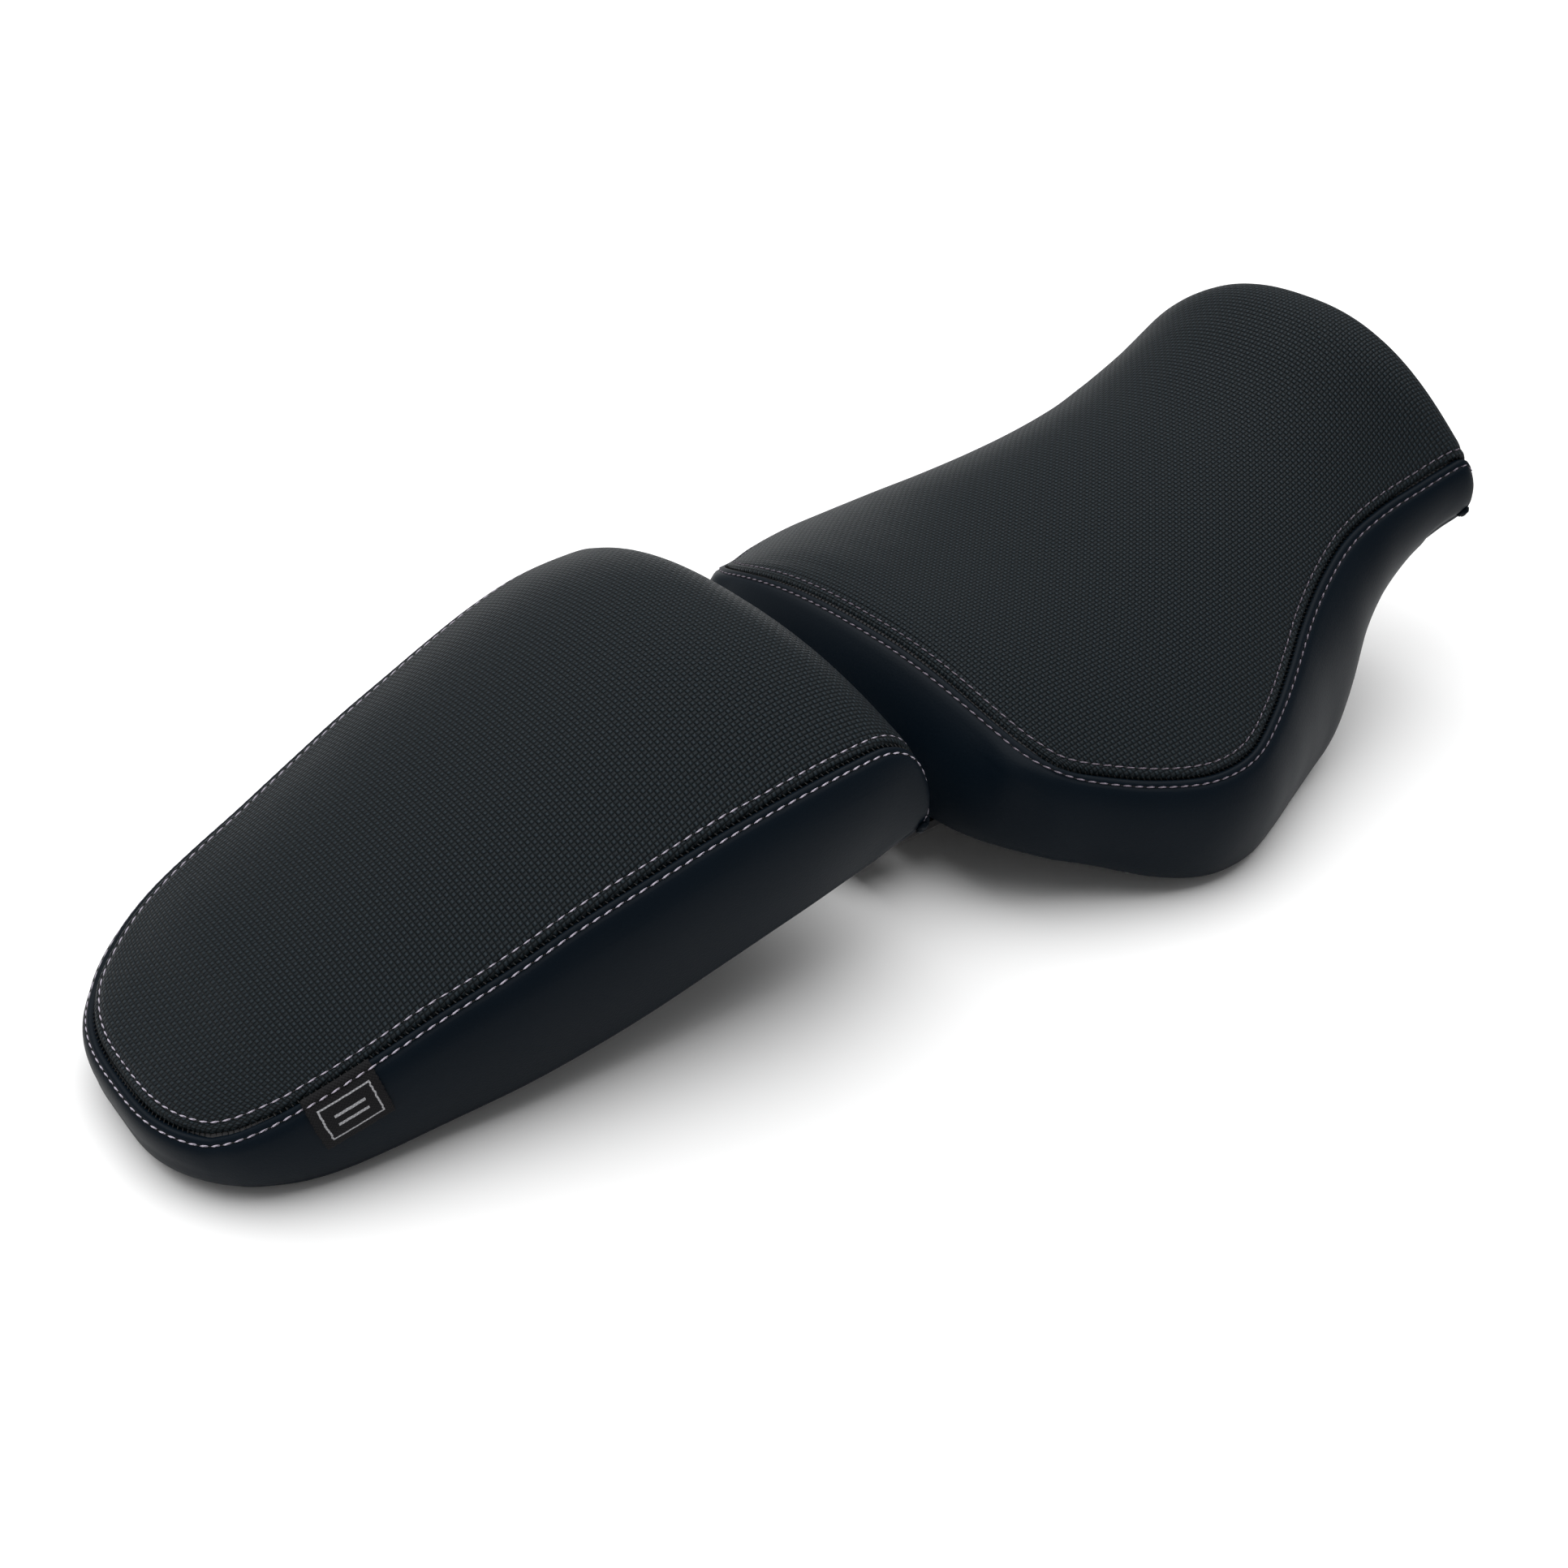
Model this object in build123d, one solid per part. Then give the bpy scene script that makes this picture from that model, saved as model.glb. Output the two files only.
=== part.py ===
from build123d import *
import math
import os

# Two-piece motorcycle seat: a wide rider seat whose nose climbs towards the tank, and a wedge-shaped
# pillion seat behind it that hooks over a bar on the rider seat and lifts up at its rear.
# Millimetres, X forward, Y to the rider's left, Z up.  The origin is under the middle of the pair,
# at the level of the rubber feet.

# ---- pillion cushion ----
PILLION_LENGTH = 345.0
PILLION_HALF_WIDTH = 123.0     # to the seam, at the widest place
PILLION_SIDE = 71.0            # seam above the underside, at the tallest place
PILLION_CROWN = 29.0           # middle above the seam, at the highest place
PILLION_RISE = 63.0            # underside at the front above the underside at the rear

# ---- rider cushion ----
RIDER_LENGTH = 334.0
RIDER_HALF_WIDTH = 169.0
RIDER_SIDE = 86.0
RIDER_CROWN = 59.0
RIDER_NOSE_RISE = 96.0         # underside of the nose above the flat base
RIDER_TAIL_RISE = 30.0         # underside of the rear edge above the flat base
RIDER_SEAM_BACK = 17.0         # rear seam in front of the rear edge
PILLION_SEAM_BACK = 5.0
SEAM_INSIDE = 1.5              # the seam lies this far inboard of the cushion's upper edge

# ---- shared ----
SEAT_GAP = 41.0                # between the two cushions
SIDE_FLARE = 8.0               # how far the side panel stands out past the seam on the rider seat
PILLION_FLARE = 4.0
EDGE_TUCK = 4.0                # lower edge of the side panel turns back in by this much
BULGE = 3.0                    # swell of the side panel near its foot
COVER = 3.0                    # vinyl with its thin backing foam
HEM = 20.0                     # turned under the base
PAN = 3.5                      # moulded base, wall
PAN_INSET = 9.0
PAN_END = 5.0                  # more inset at the two ends
FACE_GAP = 0.15                # between faces that lie on each other
PAN_GAP = 0.5                  # between the moulded base and the turned-under hem
RIB_HALF = 2.0
RIB_SPREAD = 40.0
RIB_DROP = 3.0
FOOT_RADIUS = 11.0
FOOT_DROP = 6.0                # feet below the hem
CUP_RADIUS = 6.0
STAPLE_LENGTH = 10.0
STAPLE_WIRE = 0.8
STAPLE_STEP = 26.0
STAPLE_PROUD = 0.6
STAPLE_EDGE = 11.0             # staples in from the edge

# ---- pillion hinge: two open hooks over a round bar ----
BAR_RADIUS = 4.0
BAR_AHEAD = 17.0               # bar in front of the pillion cushion
BAR_BELOW = 11.0               # bar below the underside of the pillion's front edge
BAR_CLEAR = 0.4
HOOK_WALL = 4.0
HOOK_THICK = 8.0
HOOK_Y = 22.0
HOOK_ARM = 5.0
HOOK_PLATE = 2.5
HOOK_PLATE_LENGTH = 52.0
HOOK_PLATE_HALF = 44.0

# ---- rider rear bracket: plate, two cheeks and the bar ----
BRACKET_PLATE = 4.0
BRACKET_HALF = 72.0
BRACKET_GRIP = 44.0            # length screwed under the base
CHEEK_Y = 36.0
CHEEK_THICK = 4.0
CHEEK_RADIUS = 8.5
BOLT_RADIUS = 4.2
BOLT_SPACING = 112.0
BOLT_BACK = 10.0               # bolts behind the rider cushion's rear edge
SCREW_HEAD_RADIUS = 5.5
SCREW_HEAD = 2.5

# ---- pillion latch loop ----
LOOP_X = 215.0                 # from the pillion's rear edge
LOOP_WIRE = 3.5
LOOP_HALF = 14.0
LOOP_DROP = 20.0
LOOP_BEND = 7.0
LOOP_PLATE = 2.5
LOOP_PLATE_HALF = 26.0
LOOP_PLATE_LENGTH = 30.0

# ---- rider nose tongue ----
TONGUE_HALF = 29.0
TONGUE_THICK = 3.0
TONGUE_GRIP = 28.0
TONGUE_STEP = 13.0
TONGUE_SHORT = 6.0             # tip behind the nose edge
RIVET_RADIUS = 4.0
RIVET_HEAD = 1.6

# ---- woven tag on the pillion's right side ----
TAG_X = 53.0                   # from the pillion's rear edge
TAG_LENGTH = 29.0
TAG_HEIGHT = 27.0
TAG_THICK = 0.9

TOTAL = PILLION_LENGTH + SEAT_GAP + RIDER_LENGTH
PILLION_X = -TOTAL / 2
RIDER_X = PILLION_X + PILLION_LENGTH + SEAT_GAP
BASE_Z = FOOT_DROP

# Each row: place along the seat, then seam half width, seam above the underside, crown and
# underside rise, all as fractions of the sizes above, and flare of the side panel.
PILLION_ROWS = [
    (0.000, 0.146, 0.28, 0.07, 0.000, 0.5),
    (0.017, 0.341, 0.31, 0.10, 0.000, 1.0),
    (0.046, 0.504, 0.37, 0.20, 0.000, 1.0),
    (0.093, 0.626, 0.48, 0.24, 0.000, 1.0),
    (0.165, 0.699, 0.64, 0.34, 0.000, 1.0),
    (0.243, 0.748, 0.74, 0.38, 0.048, 1.0),
    (0.319, 0.780, 0.83, 0.48, 0.095, 1.0),
    (0.412, 0.829, 0.92, 0.59, 0.175, 1.0),
    (0.499, 0.862, 0.98, 0.62, 0.270, 1.0),
    (0.583, 0.902, 1.00, 0.72, 0.397, 1.0),
    (0.658, 0.935, 0.99, 0.83, 0.540, 1.0),
    (0.733, 0.967, 0.96, 0.93, 0.683, 1.0),
    (0.809, 0.992, 0.92, 1.00, 0.810, 1.0),
    (0.881, 1.000, 0.87, 1.00, 0.889, 1.0),
    (0.939, 0.992, 0.80, 0.90, 0.952, 1.0),
    (0.974, 0.984, 0.68, 0.76, 0.984, 1.0),
    (1.000, 0.976, 0.38, 0.52, 1.000, 0.8),
]
RIDER_ROWS = [
    (0.000, 0.645, 0.34, 0.10, -1.00, 0.9),
    (0.030, 0.700, 0.54, 0.26, -0.90, 1.0),
    (0.068, 0.757, 0.63, 0.44, -0.75, 1.2),
    (0.123, 0.840, 0.61, 0.64, -0.53, 1.2),
    (0.201, 0.941, 0.65, 0.75, -0.20, 1.1),
    (0.281, 1.000, 0.69, 0.80, 0.000, 1.0),
    (0.359, 1.000, 0.70, 0.83, 0.000, 1.0),
    (0.437, 0.941, 0.78, 0.80, 0.000, 1.2),
    (0.515, 0.858, 0.88, 0.75, 0.000, 1.6),
    (0.593, 0.769, 0.98, 0.68, 0.031, 2.5),
    (0.671, 0.698, 1.00, 0.63, 0.125, 3.0),
    (0.749, 0.651, 0.90, 0.61, 0.333, 2.2),
    (0.826, 0.651, 0.64, 0.73, 0.646, 1.0),
    (0.907, 0.669, 0.47, 0.95, 0.875, 0.7),
    (0.955, 0.686, 0.43, 1.00, 0.948, 0.6),
    (0.982, 0.692, 0.41, 0.97, 0.979, 0.6),
    (1.000, 0.675, 0.26, 0.90, 1.000, 0.6),
]
CROWN_POWER = 2.4


def smooth(rows, column, u):
    """Monotone cubic through one column of a table."""
    xs = [row[0] for row in rows]
    ys = [row[column] for row in rows]
    count = len(xs)
    u = min(max(u, xs[0]), xs[-1])
    rates = [(ys[i + 1] - ys[i]) / (xs[i + 1] - xs[i]) for i in range(count - 1)]
    slopes = [rates[0]]
    for i in range(1, count - 1):
        same_way = rates[i - 1] * rates[i] > 0
        slopes.append(2 / (1 / rates[i - 1] + 1 / rates[i]) if same_way else 0.0)
    slopes.append(rates[-1])
    i = 0
    while i < count - 2 and u > xs[i + 1]:
        i += 1
    step = xs[i + 1] - xs[i]
    t = (u - xs[i]) / step
    rise = ys[i] * (1 + 2 * t) * (1 - t) ** 2 + ys[i + 1] * t * t * (3 - 2 * t)
    return rise + step * (slopes[i] * t * (1 - t) ** 2 - slopes[i + 1] * t * t * (1 - t))


def pillion_rise(share):
    return share * PILLION_RISE


def rider_rise(share):
    return share * RIDER_NOSE_RISE if share >= 0 else -share * RIDER_TAIL_RISE


PILLION = dict(rows=PILLION_ROWS, x=PILLION_X, length=PILLION_LENGTH, width=PILLION_HALF_WIDTH,
               side=PILLION_SIDE, crown=PILLION_CROWN, rise=pillion_rise, flare=PILLION_FLARE,
               seam_back=PILLION_SEAM_BACK)
RIDER = dict(rows=RIDER_ROWS, x=RIDER_X, length=RIDER_LENGTH, width=RIDER_HALF_WIDTH,
             side=RIDER_SIDE, crown=RIDER_CROWN, rise=rider_rise, flare=SIDE_FLARE,
             seam_back=RIDER_SEAM_BACK)


def seam_half(seat, u):
    return smooth(seat["rows"], 1, u) * seat["width"]


def underside(seat, u):
    return BASE_Z + seat["rise"](smooth(seat["rows"], 4, u))


def seam_z(seat, u):
    return underside(seat, u) + smooth(seat["rows"], 2, u) * seat["side"]


def crown_z(seat, u):
    return seam_z(seat, u) + smooth(seat["rows"], 3, u) * seat["crown"]


def foot_half(seat, u):
    return seam_half(seat, u) + smooth(seat["rows"], 5, u) * seat["flare"] - EDGE_TUCK


def steepness(seat, u):
    """How much an inset across the seat grows where the outline runs across it."""
    step = 0.004
    low = max(u - step, 0.0)
    high = min(u + step, 1.0)
    slope = (seam_half(seat, high) - seam_half(seat, low)) / ((high - low) * seat["length"])
    return min(math.sqrt(1 + slope * slope), 2.2)


def cushion_section(seat, u, x, inset):
    """Closed outline across the seat: crowned top, swelling sides, flat underside."""
    across = inset * steepness(seat, u)
    half = seam_half(seat, u) - across
    seam = seam_z(seat, u) - inset
    crown = crown_z(seat, u) - inset
    foot = foot_half(seat, u) - across
    floor = underside(seat, (x - seat["x"]) / seat["length"]) + inset
    slope = (crown - seam) * CROWN_POWER / half
    run = (seam - floor) * 0.38 / math.hypot(1, slope)
    low = Vector(foot + EDGE_TUCK + BULGE, floor + (seam - floor) * 0.30)
    top_points = []
    for i in range(9):
        y = half * (i / 4 - 1)
        top_points.append((y, crown - (crown - seam) * abs(y / half) ** CROWN_POWER))
    top = Spline(*top_points)
    right = Bezier((half, seam), (half + run, seam - run * slope), (low.X, low.Y), (foot, floor))
    left = Bezier((-foot, floor), (-low.X, low.Y), (-half - run, seam - run * slope), (-half, seam))
    bottom = Line((foot, floor), (-foot, floor))
    plane = Plane(origin=(x, 0, 0), x_dir=(0, 1, 0), z_dir=(1, 0, 0))
    return plane * make_face(top + right + bottom + left)


def cushion(seat, inset):
    """Whole cushion, or the same drawn in by an inset all round."""
    sections = []
    for row in seat["rows"]:
        x = seat["x"] + row[0] * seat["length"]
        x = min(max(x, seat["x"] + inset), seat["x"] + seat["length"] - inset)
        if sections and x - last < 1.5:
            continue
        last = x
        sections.append(cushion_section(seat, row[0], x, inset))
    return loft(sections)


def slab(seat, start, end, half_at, low, high):
    """Strip that follows the underside between two places along the seat."""
    sections = []
    places = [start] + [row[0] for row in seat["rows"] if start + 0.02 < row[0] < end - 0.02] + [end]
    for u in places:
        half = half_at(u)
        z = underside(seat, u)
        x = seat["x"] + u * seat["length"]
        plane = Plane(origin=(x, 0, z + (low + high) / 2), x_dir=(0, 1, 0), z_dir=(1, 0, 0))
        sections.append(plane * Rectangle(2 * half, high - low))
    return loft(sections)


def seam_block(seat):
    """Block inside the seam and above the hem; it runs past the front, where the top panel wraps over."""
    start = seat["seam_back"] / seat["length"]
    places = [start] + [row[0] for row in seat["rows"] if row[0] > start + 0.015]
    side = []
    for u in places:
        side.append((seat["x"] + u * seat["length"], seam_half(seat, u) - SEAM_INSIDE))
    ahead = seat["x"] + seat["length"] + 20
    edge = side + [(ahead, side[-1][1])]
    mirrored = [(x, -y) for x, y in reversed(edge)]
    block = extrude(make_face(Polyline(*edge, *mirrored, edge[0])), 400)
    under = slab(seat, 0.0, 1 - HEM / seat["length"], lambda u: seat["width"] + 40, -60, COVER + 2)
    return Pos(0, 0, -20) * block - under


def build_seat(seat, name, parts):
    """Foam, moulded base with ribs, and the two vinyl panels of one seat."""
    outer = cushion(seat, 0)
    inner = cushion(seat, COVER)
    near = (COVER + PAN_INSET + PAN_END) / seat["length"]
    hem_end = (COVER + HEM) / seat["length"]
    pan_low = COVER + PAN_GAP
    pan_high = pan_low + PAN

    def pan_half(u):
        return foot_half(seat, u) - PAN_INSET - COVER * steepness(seat, u)

    pan = slab(seat, near, 1 - near, pan_half, pan_low - 1.5, pan_high) & cushion(seat, pan_low)
    foam = inner - slab(seat, near, 1 - near, pan_half, pan_low - 3, pan_high)
    window = slab(seat, hem_end, 1 - hem_end, lambda u: foot_half(seat, u) - HEM, -5, COVER + 1)
    shell = outer - inner - window
    block = seam_block(seat)
    for y in (-RIB_SPREAD, 0.0, RIB_SPREAD):
        rib = slab(seat, hem_end + 0.03, 0.97 - hem_end, lambda u: RIB_HALF, pan_low - RIB_DROP, pan_low + 1)
        pan = pan + Pos(0, y, 0) * rib
    parts[name + "_foam"] = biggest(foam)
    parts[name + "_pan"] = pan
    parts[name + "_top_panel"] = biggest(shell & block)
    parts[name + "_side_panel"] = biggest(shell - block)


def place(seat, distance):
    """Share of the length at a distance from the seat's rear edge."""
    return distance / seat["length"]


def make_feet(seat, spots, pan):
    feet = []
    for distance, y in spots:
        u = place(seat, distance)
        top = underside(seat, u) + COVER + 1.2
        low = underside(seat, u) - FOOT_DROP
        x = seat["x"] + distance
        foot = Pos(x, y, low) * Cylinder(FOOT_RADIUS, top - low, align=(Align.CENTER, Align.CENTER, Align.MIN))
        cup = Pos(x, y, low) * Cylinder(CUP_RADIUS, 4, align=(Align.CENTER, Align.CENTER, Align.CENTER))
        feet.append(foot - pan - cup)
    return Compound(children=[biggest(foot) for foot in feet])


def biggest(shape):
    return max(shape.solids(), key=lambda solid: solid.volume)


def make_staples(seat):
    """Wire staples through the hem, one after another round the underside."""
    edge = []
    for i in range(0, 201):
        u = 0.06 + 0.88 * i / 200
        edge.append((seat["x"] + u * seat["length"], foot_half(seat, u) - STAPLE_EDGE, u))
    staples = []
    run = 0.0
    for before, here in zip(edge, edge[1:]):
        run += math.hypot(here[0] - before[0], here[1] - before[1])
        if run < STAPLE_STEP:
            continue
        run = 0.0
        turn = math.degrees(math.atan2(here[1] - before[1], here[0] - before[0]))
        climb = math.degrees(math.atan2(underside(seat, here[2]) - underside(seat, before[2]),
                                        here[0] - before[0]))
        crown = Box(STAPLE_LENGTH, STAPLE_WIRE, STAPLE_WIRE)
        for side in (1, -1):
            spot = Location((here[0], side * here[1], underside(seat, here[2]) - STAPLE_WIRE / 2 - STAPLE_PROUD))
            staples.append(spot * Rot(0, -climb, 0) * Rot(0, 0, side * turn) * crown)
    for y in range(-3, 4):
        for u, away in ((0.0, 1), (1.0, -1)):
            x = seat["x"] + u * seat["length"] + away * (COVER + STAPLE_EDGE)
            share = (x - seat["x"]) / seat["length"]
            if abs(y) * STAPLE_STEP > foot_half(seat, share) - STAPLE_EDGE - STAPLE_STEP / 2:
                continue
            spot = Pos(x, y * STAPLE_STEP, underside(seat, share) - STAPLE_WIRE / 2 - STAPLE_PROUD)
            staples.append(spot * Box(STAPLE_WIRE, STAPLE_LENGTH, STAPLE_WIRE))
    return Compound(children=[staple.solid() for staple in staples])


def bar_place():
    return PILLION_X + PILLION_LENGTH + BAR_AHEAD, underside(PILLION, 1.0) - BAR_BELOW


def round_bar(x, y, z, radius, length):
    """Cylinder lying across the seat."""
    return Pos(x, y, z) * Rot(90, 0, 0) * Cylinder(radius, length)


def heads_under(seat, spots, below, radius, height, plate):
    """Round fastener heads that sit against the lower face of a plate under a seat."""
    heads = []
    for distance, y in spots:
        face = underside(seat, place(seat, distance)) - below
        climb = underside(seat, place(seat, distance + 3)) - underside(seat, place(seat, distance - 3))
        tilt = math.degrees(math.atan(climb / 6))
        rod = Pos(seat["x"] + distance, y, face) * Rot(0, -tilt, 0) * Pos(0, 0, -height)
        rod = rod * Cylinder(radius, height + below / 2, align=(Align.CENTER, Align.CENTER, Align.MIN))
        heads.append(lowest(rod - plate))
    return Compound(children=heads)


def lowest(shape):
    return min(shape.solids(), key=lambda solid: solid.center().Z)


def make_hooks():
    """Steel plate under the pillion's front with two open hooks that drop over the bar."""
    bar_x, bar_z = bar_place()
    front = PILLION_LENGTH - COVER - HEM - 2
    back = front - HOOK_PLATE_LENGTH
    low = -HOOK_PLATE
    plate = slab(PILLION, place(PILLION, back), place(PILLION, front), lambda u: HOOK_PLATE_HALF, low,
                 -FACE_GAP)
    inner = BAR_RADIUS + BAR_CLEAR
    outer = inner + HOOK_WALL
    start = PILLION_X + front - 24
    arm_top = underside(PILLION, place(PILLION, front - 24)) + low + 0.6
    arm_end = bar_z + outer - 1.5
    for y in (HOOK_Y, -HOOK_Y):
        side = Plane(origin=(0, y + HOOK_THICK / 2, 0), x_dir=(1, 0, 0), z_dir=(0, -1, 0))
        points = [(start, arm_top), (bar_x, arm_end), (bar_x, arm_end - HOOK_ARM),
                  (start, arm_top - HOOK_ARM), (start, arm_top)]
        arm = extrude(side * make_face(Polyline(*points)), HOOK_THICK)
        ring = round_bar(bar_x, y, bar_z, outer, HOOK_THICK)
        bore = round_bar(bar_x, y, bar_z, inner, 2 * HOOK_THICK)
        mouth = Pos(bar_x, y, bar_z - outer) * Box(2 * inner, 2 * HOOK_THICK, 2 * outer)
        plate = plate + ((arm + ring) - bore - mouth)
    return plate, back, front


def make_bracket():
    """Plate screwed under the rider seat's rear; it carries the bar in two cheeks."""
    bar_x, bar_z = bar_place()
    start = COVER + HEM + 2
    end = start + BRACKET_GRIP
    grip = slab(RIDER, place(RIDER, start), place(RIDER, end), lambda u: BRACKET_HALF, -BRACKET_PLATE,
                -FACE_GAP)
    level = underside(RIDER, place(RIDER, start)) - BRACKET_PLATE
    rear = bar_x - CHEEK_RADIUS
    ahead = RIDER_X + start + 2
    shelf = Pos((rear + ahead) / 2, 0, level + BRACKET_PLATE / 2 - 0.6)
    bracket = grip + shelf * Box(ahead - rear, 2 * BRACKET_HALF, BRACKET_PLATE)
    top = level + BRACKET_PLATE - 1
    for y in (CHEEK_Y, -CHEEK_Y):
        side = Plane(origin=(0, y + CHEEK_THICK / 2, 0), x_dir=(1, 0, 0), z_dir=(0, -1, 0))
        points = [(rear, top), (rear, bar_z), (bar_x + CHEEK_RADIUS, bar_z), (bar_x + CHEEK_RADIUS + 8, top),
                  (rear, top)]
        cheek = extrude(side * make_face(Polyline(*points)), CHEEK_THICK)
        bracket = bracket + cheek + round_bar(bar_x, y, bar_z, CHEEK_RADIUS, CHEEK_THICK)
    bracket = bracket - round_bar(bar_x, 0, bar_z, BAR_RADIUS, 4 * CHEEK_Y)
    for y in (BOLT_SPACING / 2, -BOLT_SPACING / 2):
        bracket = bracket - Pos(RIDER_X - BOLT_BACK, y, level) * Cylinder(BOLT_RADIUS, 6 * BRACKET_PLATE)
    bar = round_bar(bar_x, 0, bar_z, BAR_RADIUS, 2 * CHEEK_Y + CHEEK_THICK + 3)
    return bracket, bar, start, end


def make_loop():
    """Bent steel wire on a small plate: the latch on the motorcycle holds it."""
    start = LOOP_X - LOOP_PLATE_LENGTH / 2
    end = LOOP_X + LOOP_PLATE_LENGTH / 2
    plate = slab(PILLION, place(PILLION, start), place(PILLION, end), lambda u: LOOP_PLATE_HALF,
                 -LOOP_PLATE, -FACE_GAP)
    top = underside(PILLION, place(PILLION, LOOP_X)) - LOOP_PLATE / 2
    low = top - LOOP_DROP
    x = PILLION_X + LOOP_X
    path = FilletPolyline((x, LOOP_HALF, top), (x, LOOP_HALF, low), (x, -LOOP_HALF, low),
                          (x, -LOOP_HALF, top), radius=LOOP_BEND)
    wire = sweep(Plane(origin=(x, LOOP_HALF, top), z_dir=(0, 0, -1)) * Circle(LOOP_WIRE), path)
    return plate + wire, start, end


def make_tongue():
    """Folded steel strip under the nose; its tip slides under a bracket at the tank."""
    end = RIDER_LENGTH - COVER - HEM - 2
    start = end - TONGUE_GRIP
    grip = slab(RIDER, place(RIDER, start), place(RIDER, end), lambda u: TONGUE_HALF, -TONGUE_THICK,
                -FACE_GAP)
    top = underside(RIDER, place(RIDER, start)) - TONGUE_THICK / 2
    low = top - TONGUE_STEP - TONGUE_THICK
    back = RIDER_X + start
    tip = RIDER_X + RIDER_LENGTH - TONGUE_SHORT
    points = [(back, top), (back, low), (tip, low), (tip, low + TONGUE_THICK),
              (back + TONGUE_THICK, low + TONGUE_THICK), (back + TONGUE_THICK, top), (back, top)]
    side = Plane(origin=(0, TONGUE_HALF, 0), x_dir=(1, 0, 0), z_dir=(0, -1, 0))
    fold = extrude(side * make_face(Polyline(*points)), 2 * TONGUE_HALF)
    return grip + fold, start, end


def make_tag():
    """Woven tag that hangs from the seam and lies on the side panel."""
    skin = cushion(PILLION, -TAG_THICK) - cushion(PILLION, 0)
    first = seam_z(PILLION, place(PILLION, TAG_X))
    last = seam_z(PILLION, place(PILLION, TAG_X + TAG_LENGTH))
    slope = math.degrees(math.atan2(last - first, TAG_LENGTH))
    middle = Pos(PILLION_X + TAG_X + TAG_LENGTH / 2, -PILLION_HALF_WIDTH * 0.75, (first + last) / 2)
    block = middle * Rot(0, -slope, 0) * Pos(0, 0, -TAG_HEIGHT / 2) * Box(TAG_LENGTH, 60, TAG_HEIGHT)
    return biggest(skin & block)


parts = {}
build_seat(RIDER, "rider", parts)
build_seat(PILLION, "pillion", parts)

RIDER_FEET = [(112, 96), (112, -96), (176, 92), (176, -92)]
PILLION_FEET = [(54, 46), (54, -46), (150, 62), (150, -62)]
parts["rider_feet"] = make_feet(RIDER, RIDER_FEET, parts["rider_pan"])
parts["pillion_feet"] = make_feet(PILLION, PILLION_FEET, parts["pillion_pan"])
parts["rider_staples"] = make_staples(RIDER)
parts["pillion_staples"] = make_staples(PILLION)

hooks, hooks_back, hooks_front = make_hooks()
parts["pillion_hooks"] = hooks
hook_spots = [(hooks_back + 8, y) for y in (-32, 32)] + [(hooks_front - 8, y) for y in (-36, 36)]
parts["pillion_hook_screws"] = heads_under(PILLION, hook_spots, HOOK_PLATE, SCREW_HEAD_RADIUS,
                                           SCREW_HEAD, hooks)

bracket, bar, bracket_start, bracket_end = make_bracket()
parts["rider_rear_bracket"] = bracket
parts["rider_bracket_bar"] = bar
bracket_spots = [(bracket_end - 9, y) for y in (-60, -20, 20, 60)]
parts["rider_bracket_screws"] = heads_under(RIDER, bracket_spots, BRACKET_PLATE, SCREW_HEAD_RADIUS,
                                            SCREW_HEAD, bracket)

loop, loop_start, loop_end = make_loop()
parts["pillion_latch_loop"] = loop
loop_spots = [(LOOP_X + dx, y) for dx in (-8, 8) for y in (-20, 20)]
parts["pillion_loop_rivets"] = heads_under(PILLION, loop_spots, LOOP_PLATE, RIVET_RADIUS, RIVET_HEAD, loop)

tongue, tongue_start, tongue_end = make_tongue()
parts["rider_nose_tongue"] = tongue
tongue_spots = [(tongue_start + 15, y) for y in (-18, 0, 18)]
parts["rider_tongue_rivets"] = heads_under(RIDER, tongue_spots, TONGUE_THICK, RIVET_RADIUS, RIVET_HEAD,
                                           tongue)
parts["pillion_tag"] = make_tag()

os.makedirs("parts", exist_ok=True)
for name, shape in parts.items():
    export_step(shape, "parts/" + name + ".step")
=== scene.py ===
import math

import bmesh
import bpy
import numpy as np
from mathutils import Matrix, Vector, bvhtree, kdtree


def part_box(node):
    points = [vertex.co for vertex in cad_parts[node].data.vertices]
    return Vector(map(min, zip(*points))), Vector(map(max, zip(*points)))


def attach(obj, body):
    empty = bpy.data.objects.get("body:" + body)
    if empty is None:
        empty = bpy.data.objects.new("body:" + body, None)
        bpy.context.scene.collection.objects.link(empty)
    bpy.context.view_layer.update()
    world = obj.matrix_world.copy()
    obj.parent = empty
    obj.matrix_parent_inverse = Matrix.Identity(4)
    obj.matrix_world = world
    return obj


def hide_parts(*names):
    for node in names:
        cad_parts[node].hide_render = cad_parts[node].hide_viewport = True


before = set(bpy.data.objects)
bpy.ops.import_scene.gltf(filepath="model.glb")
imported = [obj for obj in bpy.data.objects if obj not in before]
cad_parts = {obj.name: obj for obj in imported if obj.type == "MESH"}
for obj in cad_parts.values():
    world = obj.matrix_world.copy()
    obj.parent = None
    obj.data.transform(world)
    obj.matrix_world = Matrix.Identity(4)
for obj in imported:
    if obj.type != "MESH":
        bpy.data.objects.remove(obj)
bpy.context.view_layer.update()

# ---------------------------------------------------------------- camera
# Stands behind and to the right of the seats, looking forward and down over the pillion seat.
MM = 0.001
eye = Vector((-497.5, -693.5, 590.7)) * MM
look_right = Vector((0.79955, -0.59923, -0.04025))
look_up = Vector((0.35831, 0.42221, 0.83267))
look_back = look_right.cross(look_up)
lens = bpy.data.cameras.new("camera")
lens.sensor_width = 36.0
lens.lens = 46.6
lens.clip_end = 30.0
camera = bpy.data.objects.new("camera", lens)
turn = Matrix((look_right, look_up, look_back)).transposed().to_4x4()
camera.matrix_world = Matrix.Translation(eye) @ turn
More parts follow.
